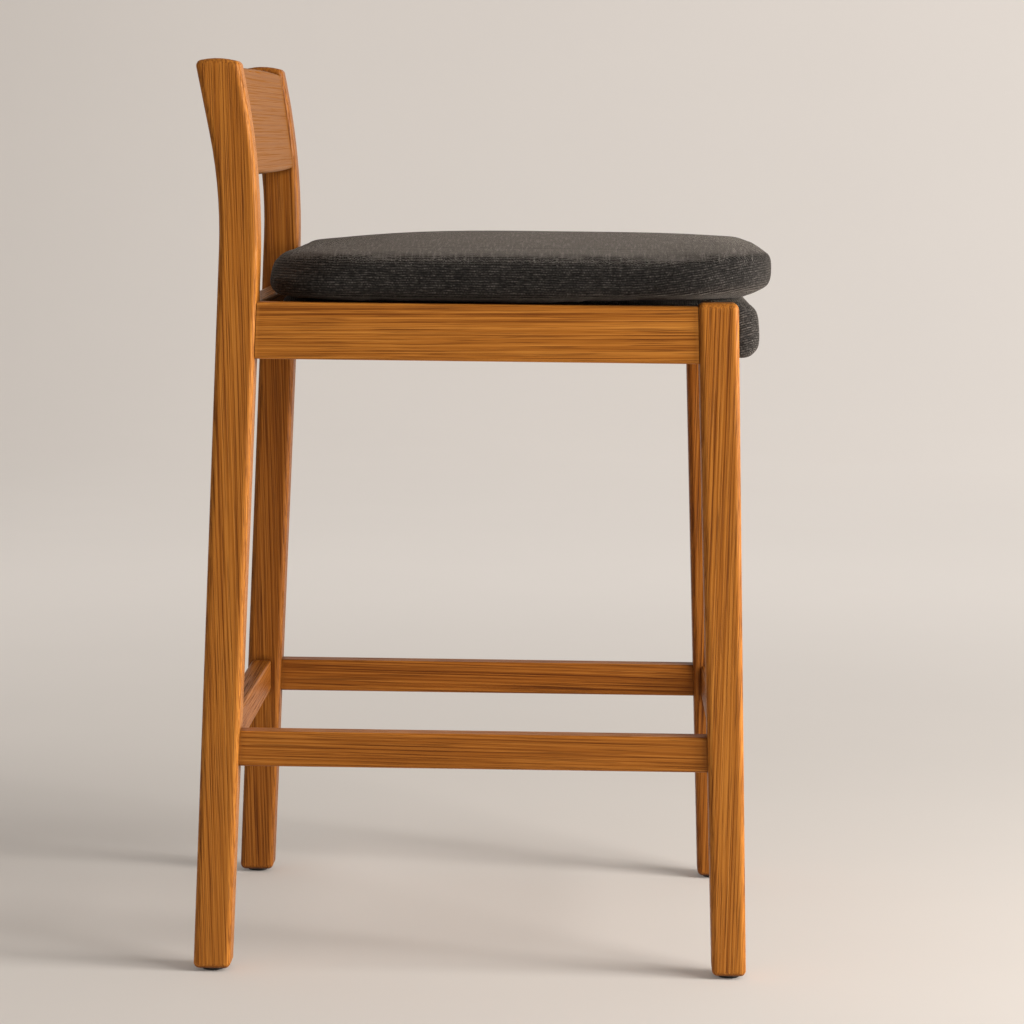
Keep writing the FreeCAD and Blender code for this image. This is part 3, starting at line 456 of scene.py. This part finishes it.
def rounded_plan(half_x, rear, front, radius, inset, straight=10, turn=14):
    """Points round a rectangle with round corners, moved inwards by inset, anticlockwise from above."""
    half, high, low, r = half_x - inset, rear - inset, front + inset, max(radius - inset, 0.002)
    corners = [((half - r, high - r), 0), ((-half + r, high - r), 90),
               ((-half + r, low + r), 180), ((half - r, low + r), 270)]
    ring = []
    for k, ((cx, cy), start) in enumerate(corners):
        angles = np.radians(np.linspace(start, start + 90, turn + 1))
        ring += [(cx + r * math.cos(a), cy + r * math.sin(a)) for a in angles]
        (nx, ny), after = corners[(k + 1) % 4]
        ax, ay = ring[-1]
        bx, by = nx + r * math.cos(math.radians(after)), ny + r * math.sin(math.radians(after))
        ring += [(ax + (bx - ax) * i / straight, ay + (by - ay) * i / straight) for i in range(1, straight)]
    return ring


def evaluated(piece):
    graph = bpy.context.evaluated_depsgraph_get()
    return bpy.data.meshes.new_from_object(piece.evaluated_get(graph), depsgraph=graph)


def bake_modifiers(piece):
    mesh = evaluated(piece)
    old = piece.data
    piece.modifiers.clear()
    piece.data = mesh
    bpy.data.meshes.remove(old)


def remesh(piece, size):
    modifier = piece.modifiers.new("remesh", "REMESH")
    modifier.mode = "VOXEL"
    modifier.voxel_size = size
    bake_modifiers(piece)


def points_of(piece):
    flat = np.empty(len(piece.data.vertices) * 3, np.float32)
    piece.data.vertices.foreach_get("co", flat)
    return flat.reshape(-1, 3).astype(float)


def vertex_normals(piece):
    flat = np.empty(len(piece.data.vertices) * 3, np.float32)
    piece.data.vertex_normals.foreach_get("vector", flat)
    return flat.reshape(-1, 3).astype(float)


def fit_box(piece, low, high):
    """Stretches the piece by the last millimetre or two so that it fills the box from low to high."""
    shape = points_of(piece)
    lowest, highest = shape.min(0), shape.max(0)
    share = (shape - lowest) / (highest - lowest)
    move_points(piece, np.array(low) + share * (np.array(high) - np.array(low)))


def move_points(piece, points):
    piece.data.vertices.foreach_set("co", np.ascontiguousarray(points, np.float32).ravel())
    piece.data.update()


def inflate(piece, pressure, most, steps=20):
    """Blows the closed cover up a little, as its filling does, and keeps each point within most."""
    start, normals = points_of(piece), vertex_normals(piece)
    cloth = piece.modifiers.new("cloth", "CLOTH")
    settings = cloth.settings
    settings.quality = 6
    settings.mass = 0.35
    settings.tension_stiffness = settings.compression_stiffness = 12
    settings.shear_stiffness = 6
    settings.bending_stiffness = 0.6
    settings.use_pressure = True
    settings.uniform_pressure_force = pressure
    settings.effector_weights.gravity = 0
    cloth.collision_settings.use_self_collision = False
    cloth.point_cache.frame_start, cloth.point_cache.frame_end = 1, steps
    SCENE.frame_start, SCENE.frame_end = 1, steps
    for step in range(1, steps + 1):
        SCENE.frame_set(step)
    bake_modifiers(piece)
    SCENE.frame_set(1)
    moved = points_of(piece) - start
    length = np.linalg.norm(moved, axis=1, keepdims=True)
    moved *= np.minimum(1, most / np.maximum(length, 1e-9))
    outward = np.sum(moved * normals, axis=1, keepdims=True)
    moved += normals * np.maximum(0, -0.0006 - outward)
    move_points(piece, start + moved)


def smooth(piece, rounds, strength=0.5):
    modifier = piece.modifiers.new("smooth", "SMOOTH")
    modifier.iterations = rounds
    modifier.factor = strength
    bake_modifiers(piece)


def subdivide(piece):
    modifier = piece.modifiers.new("subdivision", "SUBSURF")
    modifier.levels = modifier.render_levels = 1
    bake_modifiers(piece)
    piece.data.polygons.foreach_set("use_smooth", [True] * len(piece.data.polygons))


def write_map(piece, name, place, wrap=None):
    """Stores two numbers of every vertex, in metres, as a UV map. wrap is the length of a closed
    first coordinate, so that the faces across its ends stay whole."""
    mesh = piece.data
    corners = np.empty(len(mesh.loops), np.int32)
    mesh.loops.foreach_get("vertex_index", corners)
    values = place[corners].astype(np.float32)
    if wrap:
        starts = np.empty(len(mesh.polygons), np.int32)
        counts = np.empty(len(mesh.polygons), np.int32)
        mesh.polygons.foreach_get("loop_start", starts)
        mesh.polygons.foreach_get("loop_total", counts)
        highest = np.repeat(np.maximum.reduceat(values[:, 0], starts), counts)
        values[:, 0] += np.where(highest - values[:, 0] > wrap / 2, wrap, 0)
    mesh.uv_layers.new(name=name).data.foreach_set("uv", values.ravel())


# ------------------------------------------------------------------ loose cushion
CHARCOAL = ((0.004, 0.0035, 0.0032), (0.018, 0.0159, 0.0142), (0.042, 0.0373, 0.0336),
            (0.082, 0.0734, 0.0664))
# A lighter copy of the charcoal tones for the seat pad, which is the same cloth: painted light, so that its
# nose shows brighter.
PAINTED_LIT_CHARCOAL = ((0.007, 0.0061, 0.0055), (0.031, 0.0274, 0.0245), (0.069, 0.0614, 0.0552),
            (0.122, 0.1092, 0.0988))
LOW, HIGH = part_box("cushion_cover")
PAD_LOW, PAD_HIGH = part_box("seat_pad_cover")
PAD_CORNER = 0.060
FOLD_HEIGHT = 0.5905
CUSHION_CORNER, LOWER_CORNER = 0.090, 0.058
CUSHION_HALF = HIGH.x - 0.0005
CUSHION_REAR = HIGH.y - 0.0004
CUSHION_FRONT = LOW.y - 0.0012
CUSHION_TOP = HIGH.z - 0.0006
CUSHION_GIRTH = (4 * CUSHION_HALF + 2 * (CUSHION_REAR - CUSHION_FRONT) - (8 - 2 * math.pi) * CUSHION_CORNER)
EDGE_UP, FRONT_UP = 0.6612, 0.0068
RIM, FRONT_RIM = 0.0125, 0.0042
SAG = 0.0046
LEG_CLEAR, LEGS_FROM, LEGS_AHEAD = 0.6235, 0.2, -0.185


def plan_distance(x, y):
    """Distance inwards from the cushion's outline, and the distance along it."""
    cx, cy = 0.0, (CUSHION_FRONT + CUSHION_REAR) / 2
    hx, hy = CUSHION_HALF, (CUSHION_REAR - CUSHION_FRONT) / 2
    r = CUSHION_CORNER
    dx, dy = np.abs(x - cx) - (hx - r), np.abs(y - cy) - (hy - r)
    outside = np.hypot(np.maximum(dx, 0), np.maximum(dy, 0))
    inset = r - outside - np.minimum(np.maximum(dx, dy), 0)
    end = np.where(y < cy, -1.0, 1.0)
    swing = np.arctan2(np.maximum(dy, 0), np.maximum(dx, 1e-6)) * r
    flank = end * (np.minimum(np.abs(y - cy), hy - r) + swing)
    return inset, flank + end * np.maximum(-dx, 0) * (dy > 0)


def dome(x, y):
    """The crown of the cushion's top: 0 at its rim and 1 in the middle. It falls off late at the front."""
    across = np.abs(x) / (CUSHION_HALF - RIM)
    middle, half = (CUSHION_FRONT + CUSHION_REAR) / 2, (CUSHION_REAR - CUSHION_FRONT) / 2
    along = np.abs(y - middle) / (half - np.where(y < middle, FRONT_RIM, RIM))
    return (1 - np.minimum(1, across) ** 2.2) * (1 - np.minimum(1, along) ** np.where(y < middle, 6.6, 2.6))


def frontness(y):
    """0 over most of the cushion and 1 at its fuller, rounder front."""
    return smooth_step(-y, 0.165, 0.255)


def past_pad(x, y):
    """Distance outwards from the seat pad's outline, whose rear corners are rounded."""
    dx, dy = np.abs(x) - (PAD_HIGH.x - PAD_CORNER), y - (PAD_HIGH.y - PAD_CORNER)
    outside = np.hypot(np.maximum(dx, 0), np.maximum(dy, 0))
    return outside + np.minimum(np.maximum(dx, dy), 0) - PAD_CORNER


def cushion_rings():
    """Rings of points from the middle of the underside, round the edge, to the middle of the top.
    The front end is fuller and rounder than the sides and the rear."""
    span = (CUSHION_HALF, CUSHION_REAR, CUSHION_FRONT)
    upper, lower = (np.array(rounded_plan(*span, radius, 0)) for radius in (CUSHION_CORNER, LOWER_CORNER))
    inwards = (np.array(rounded_plan(*span, CUSHION_CORNER, 0.01)) - upper) / 0.01
    x, y = upper.T
    fuller = (lower - upper) * smooth_step(y, -0.05, 0.06)[:, None]
    front = frontness(y)
    hang = SAG * (1 - smooth_step(-y, 0.03, 0.19))
    edge = EDGE_UP + FRONT_UP * front
    rings = []

    def plan(inset, low=0.0):
        return upper + fuller * low + inwards * np.broadcast_to(inset, x.shape)[:, None]

    def ring(inset, height, low=0.0):
        rings.append(np.column_stack([plan(inset, low), np.broadcast_to(height, x.shape)]))

    for inset in (0.076, 0.064, 0.053, 0.043, 0.034, 0.026, 0.019, 0.0130):
        low = 1 - inset / 0.076
        inset = inset + 0.016 * front * low
        ring(inset, LOW.z - hang * smooth_step(past_pad(*plan(inset, low).T), 0.0008, 0.0085), low)
    for inset, up in ((0.0085, 0.0009), (0.0050, 0.0028), (0.0022, 0.0060), (0.0006, 0.0105),
                      (0.0, 0.0160)):
        ring(inset * (1 + 1.9 * front), LOW.z - hang + up * (1 + 0.15 * front), 1.0)
    for inset, down, low in ((0.0, 0.0190, 0.55), (0.0005, 0.0140, 0.32), (0.0020, 0.0094, 0.18),
                             (0.0045, 0.0056, 0.09), (0.0080, 0.0026, 0.03), (0.0125, 0.0006, 0.0)):
        ring(inset * (1 - 0.66 * front), edge - down * (1 - 0.32 * front), low)
    rim = rings[-1]
    start = dome(rim[:, 0], rim[:, 1])

    def crown(place, inset):
        away = smooth_step(inset, RIM, 0.045)
        base = edge + FRONT_UP * (frontness(place[:, 1]) - front) * away
        still = start * (1 - away)
        rise = np.maximum(0, (dome(*place.T) - still) / (1 - still))
        rings.append(np.column_stack([place, base + (CUSHION_TOP - base) * rise]))

    for inset in (0.018, 0.025, 0.034, 0.044, 0.055, 0.066, 0.076):
        crown(plan(inset), inset)
    last, middle = rings[-1][:, :2], np.array((0, (CUSHION_FRONT + CUSHION_REAR) / 2))
    for share in (0.84, 0.68, 0.52, 0.36, 0.20, 0.08):
        crown(middle + (last - middle) * share, 1.0)
    return rings


def make_cushion():
    """Crowned foam cushion with soft round edges; it hangs a little past the seat pad at the sides."""
    rings = cushion_rings()
    count = len(rings[0])
    faces = []
    for ring in range(len(rings) - 1):
        for k in range(count):
            a, b = ring * count + k, ring * count + (k + 1) % count
            faces.append((a, b, b + count, a + count))
    faces.append(tuple(reversed(range(count))))
    faces.append(tuple(range((len(rings) - 1) * count, len(rings) * count)))
    cushion = new_piece("cushion", np.concatenate(rings), faces)
    remesh(cushion, 0.004)
    smooth(cushion, 2)
    inflate(cushion, 4.0, 0.003)
    subdivide(cushion)
    lowest = LOW.z - SAG
    fit_box(cushion, (-CUSHION_HALF, CUSHION_FRONT, lowest), (CUSHION_HALF, CUSHION_REAR, CUSHION_TOP))
    keep_cushion_clear(cushion)
    x, y, z = points_of(cushion).T
    inset, along = plan_distance(x, y)
    lift = 0.12 * np.maximum(0, -y - 0.10) * smooth_step(-y, 0.10, 0.25)
    front = frontness(y)
    write_map(cushion, "panel", np.column_stack([y, x]))
    write_map(cushion, "cloth", np.column_stack([along, z - lift]), wrap=CUSHION_GIRTH)
    write_map(cushion, "rim", np.column_stack([z - (EDGE_UP - 0.0030 + 0.0020 * front) + inset * 0.25,
                                               z - (LOW.z + 0.0016) + np.minimum(0, 0.006 - inset)]))
    cushion.data.materials.append(woven("cushion_weave", CHARCOAL, panels=True))
    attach(cushion, "cushion")
    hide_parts("cushion_cover", "cushion_foam")
    return cushion


def keep_cushion_clear(cushion):
    """The underside stays flat where it rests on the seat pad, and just above the rails and legs."""
    shape = points_of(cushion)
    x, y, z = shape.T
    past = past_pad(x, y)
    floor = LOW.z - SAG * smooth_step(past, 0.0006, 0.0060)
    floor = np.where((np.abs(x) >= LEGS_FROM) & (y < LEGS_AHEAD), LEG_CLEAR, floor)
    flat = (past < -0.010) & (np.abs(y) < 0.17) & (z < LOW.z + 0.012)
    z = np.where(flat, LOW.z, np.maximum(z, floor))
    move_points(cushion, np.stack([x, y, z], 1))


# ------------------------------------------------------------------ upholstered seat pad
def arc(cy, cz, radius, start, end, steps=6):
    return [(cy + radius * math.cos(a), cz + radius * math.sin(a))
            for a in np.radians(np.linspace(start, end, steps))]


def pad_profile():
    """The pad's outline in the middle, seen from the side: (y, z) from the rear, over the top, down
    the nose and back along the underside."""
    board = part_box("seat_board")[1].z
    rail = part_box("front_rail")[0].y
    front, back, top, low = PAD_LOW.y + 0.001, PAD_HIGH.y, PAD_HIGH.z - 0.0006, PAD_LOW.z + 0.001
    outline = arc(back - 0.008, top - 0.008, 0.008, 0, 90)
    outline += arc(front + 0.016, top - 0.018, 0.016, 90, 180, 8)
    outline += arc(front + 0.014, low + 0.014, 0.014, 180, 270, 7)
    outline += [(rail - 0.004, low), (rail - 0.0008, low + 0.003), (rail - 0.0008, board + 0.0004)]
    outline += [(0.0, board + 0.0004), (back - 0.003, board + 0.0004), (back, board + 0.004)]
    return outline


def pad_rings(outline):
    """The outline at stations from end to end, drawn in where the foam rounds off at both ends."""
    half, nose_round, edge_round = PAD_HIGH.x - 0.0005, 0.024, 0.009
    board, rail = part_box("seat_board")[1].z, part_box("front_rail")[0].y
    y, z = np.array(outline).T
    turns = np.sin(np.radians(np.linspace(0, 90, 9)))
    steps = [*np.linspace(0, half - nose_round, 8)[:-1], *(half - nose_round + nose_round * turns)]
    rings = []
    for x in [-step for step in reversed(steps[1:])] + steps:
        def drawn_in(radius, x=x):
            past = max(0.0, abs(x) - (half - radius))
            return radius - math.sqrt(max(0.0, radius ** 2 - past ** 2))
        nose = 1 - drawn_in(nose_round) / (rail - PAD_LOW.y)
        top = 1 - drawn_in(edge_round) * 0.8 / (PAD_HIGH.z - board)
        low = 1 - drawn_in(edge_round) / (board - PAD_LOW.z)
        beyond = min(PAD_CORNER, max(0.0, abs(x) - (PAD_HIGH.x - PAD_CORNER)))
        corner = PAD_CORNER - math.sqrt(PAD_CORNER ** 2 - beyond ** 2)
        back_y = y - corner * smooth_step(y, 0.05, 0.15)
        ring_y = np.where(y < rail, rail + (y - rail) * nose, back_y)
        ring_z = board + (z - board) * np.where(z > board, top, low)
        rings.append(np.column_stack([np.full(len(y), x), ring_y, ring_z]))
    return rings


def tuck(pad):
    """The fold in the cloth at each end of the nose."""
    shape, normals = points_of(pad), vertex_normals(pad)
    x, y, z = shape.T
    near = smooth_step(np.abs(x), PAD_HIGH.x - 0.020, PAD_HIGH.x - 0.003)
    near *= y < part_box("front_rail")[0].y - 0.001
    line = FOLD_HEIGHT + 0.12 * (y - PAD_LOW.y)
    groove = 0.0011 * np.exp(-((z - line) / 0.0022) ** 2)
    ridge = 0.0004 * np.exp(-((z - line - 0.006) / 0.004) ** 2)
    move_points(pad, shape - normals * ((groove - ridge) * near)[:, None])


def make_seat_pad():
    """Foam and cloth over the board, rolled over the front rail into a padded nose."""
    outline = pad_profile()
    rings = pad_rings(outline)
    count = len(outline)
    faces = []
    for ring in range(len(rings) - 1):
        for k in range(count):
            a, b = ring * count + k, ring * count + (k + 1) % count
            faces.append((a, a + count, b + count, b))
    faces.append(tuple(range(count)))
    faces.append(tuple(reversed(range((len(rings) - 1) * count, len(rings) * count))))
    pad = new_piece("seat_pad", np.concatenate(rings), faces)
    remesh(pad, 0.004)
    smooth(pad, 2)
    inflate(pad, 4.0, 0.002)
    subdivide(pad)
    fit_box(pad, (-PAD_HIGH.x + 0.0003, PAD_LOW.y - 0.0020, PAD_LOW.z),
            (PAD_HIGH.x - 0.0003, PAD_HIGH.y, PAD_HIGH.z))
    tuck(pad)
    keep_pad_clear(pad)
    x, y, z = points_of(pad).T
    line = np.array(outline + outline[:1])
    first, step = line[:-1], np.diff(line, axis=0)
    run = np.concatenate([[0], np.cumsum(np.linalg.norm(step, axis=1))])[:-1]
    best, around = np.full(len(x), 1e9), np.zeros(len(x))
    for (ay, az), (sy, sz), before in zip(first, step, run):
        length = math.hypot(sy, sz)
        share = np.clip(((y - ay) * sy + (z - az) * sz) / length ** 2, 0, 1)
        gap = np.hypot(y - ay - share * sy, z - az - share * sz)
        nearer = gap < best
        best = np.where(nearer, gap, best)
        around = np.where(nearer, before + share * length, around)
    cloth = np.column_stack([x + np.sign(x) * best, around])
    on_end = np.abs(vertex_normals(pad)[:, 0:1]) > 0.62
    write_map(pad, "cloth", np.where(on_end, np.column_stack([y, z + 0.25 * y]), cloth))
    pad.data.materials.append(woven("pad_weave", PAINTED_LIT_CHARCOAL))
    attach(pad, "frame")
    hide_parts("seat_pad_cover", "seat_pad_foam", "front_roll_foam")


def keep_pad_clear(pad):
    """The pad lies flat on the board and under the cushion, and off the front rail and the legs."""
    shape = points_of(pad)
    x, y, z = shape.T
    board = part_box("seat_board")[1].z
    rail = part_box("front_rail")[0].y
    half = PAD_HIGH.x
    x = np.clip(x, -half, half)
    z = np.minimum(z, PAD_HIGH.z)
    behind = y > rail - 0.0002
    z = np.where(behind, np.maximum(z, board + 0.0002), z)
    under = (z < board) & (y > rail - 0.003)
    y = np.where(under, np.minimum(y, rail - 0.0003), y)
    move_points(pad, np.stack([x, y, z], 1))


# ------------------------------------------------------------------ zip at the back of the cushion
def box_points(centre, half):
    """The corners of a box, given its middle and half its size."""
    return [np.array(centre) + np.array(half) * (sx, sy, sz)
            for sx in (-1, 1) for sy in (-1, 1) for sz in (-1, 1)]


BOX_FACES = ((0, 1, 3, 2), (4, 6, 7, 5), (0, 4, 5, 1), (2, 3, 7, 6), (0, 2, 6, 4), (1, 5, 7, 3))


def rounded(piece, width, steps=2):
    bevel = piece.modifiers.new("rounded", "BEVEL")
    bevel.width = width
    bevel.segments = steps
    bevel.limit_method = "ANGLE"
    bake_modifiers(piece)


def rear_face(cushion):
    """A function that gives the y of the cushion's rear face at a list of x and a height."""
    faces = [tuple(face.vertices) for face in cushion.data.polygons]
    tree = BVHTree.FromPolygons([tuple(point) for point in points_of(cushion)], faces)

    def back(x, z):
        hits = [tree.ray_cast(Vector((px, 0.6, z)), Vector((0, -1, 0)))[0] for px in x]
        return np.array([hit.y if hit else CUSHION_REAR for hit in hits])
    return back


def make_zip(cushion):
    """Two rows of tape sewn into the back of the cushion, coil teeth between them, and a slider."""
    low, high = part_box("cushion_zip_tape")
    middle, half = (low.z + high.z) / 2, (high.x - low.x) / 2
    back = rear_face(cushion)
    count = 97
    x = np.linspace(-half, half, count)
    rows = [(-0.0045, 0.0001), (-0.0043, 0.0007), (-0.0030, 0.0008), (-0.0016, 0.0010), (-0.0013, 0.0003),
            (0.0013, 0.0003), (0.0016, 0.0010), (0.0030, 0.0008), (0.0043, 0.0007), (0.0045, 0.0001)]
    points, faces = [], []
    for up, out in rows:
        y = back(x, middle + up)
        points += [(px, py + out, middle + up) for px, py in zip(x, y)]
    for up, _ in reversed(rows):
        y = back(x, middle + up)
        points += [(px, py - 0.0006, middle + up) for px, py in zip(x, y)]
    loops = 2 * len(rows)
    for row in range(loops):
        after = (row + 1) % loops
        faces += [(row * count + k, row * count + k + 1, after * count + k + 1, after * count + k)
                  for k in range(count - 1)]
    faces.append(tuple(row * count for row in range(loops)))
    faces.append(tuple(row * count + count - 1 for row in reversed(range(loops))))
    tape = new_piece("zip_tape", np.array(points), faces)
    tape.data.materials.append(thread("zip_tape_weave", (0.012, 0.011, 0.010)))
    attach(tape, "cushion")
    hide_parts("cushion_zip_tape")

    points, faces = [], []
    pitch = 0.0016
    teeth = int(2 * half / pitch)
    centres = -half + pitch * (np.arange(teeth) + 0.5)
    for k, (px, py) in enumerate(zip(centres, back(centres, middle))):
        side = 1 if k % 2 else -1
        start = len(points)
        points += box_points((px, py + 0.0006, middle + side * 0.0005), (0.0005, 0.0005, 0.0011))
        faces += [tuple(start + corner for corner in face) for face in BOX_FACES]
    coil = new_piece("zip_teeth", np.array(points), faces)
    rounded(coil, 0.0002, 1)
    coil.data.materials.append(plastic("zip_teeth_nylon", (0.016, 0.015, 0.014)))
    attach(coil, "cushion")

    slider_low, slider_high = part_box("cushion_zip_slider")
    px = (slider_low.x + slider_high.x) / 2
    py = float(back([px], middle)[0])
    points, faces = [], []

    def add(centre, half_size):
        start = len(points)
        points.extend(box_points(centre, half_size))
        faces.extend(tuple(start + corner for corner in face) for face in BOX_FACES)

    add((px, py + 0.0015, middle), (0.0052, 0.0005, 0.0034))
    add((px + 0.0010, py + 0.0024, middle), (0.0026, 0.0005, 0.0012))
    for up in (-0.0031, 0.0031):
        add((px, py + 0.0010, middle + up), (0.0050, 0.0009, 0.0004))
    add((px - 0.0090, py + 0.0026, middle), (0.0018, 0.0004, 0.0014))
    for up in (-0.0022, 0.0022):
        add((px - 0.0060, py + 0.0026, middle + up), (0.0062, 0.0004, 0.0007))
    add((px - 0.0148, py + 0.0026, middle), (0.0048, 0.0004, 0.0029))
    slider = new_piece("zip_slider", np.array(points), faces)
    rounded(slider, 0.0003)
    slider.data.materials.append(steel("zip_slider_metal", (0.20, 0.19, 0.18), 0.38))
    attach(slider, "cushion")
    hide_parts("cushion_zip_slider")


# ------------------------------------------------------------------ build
add_camera()
add_stage()
add_lights()
finish_hard_parts()
make_zip(make_cushion())
make_seat_pad()
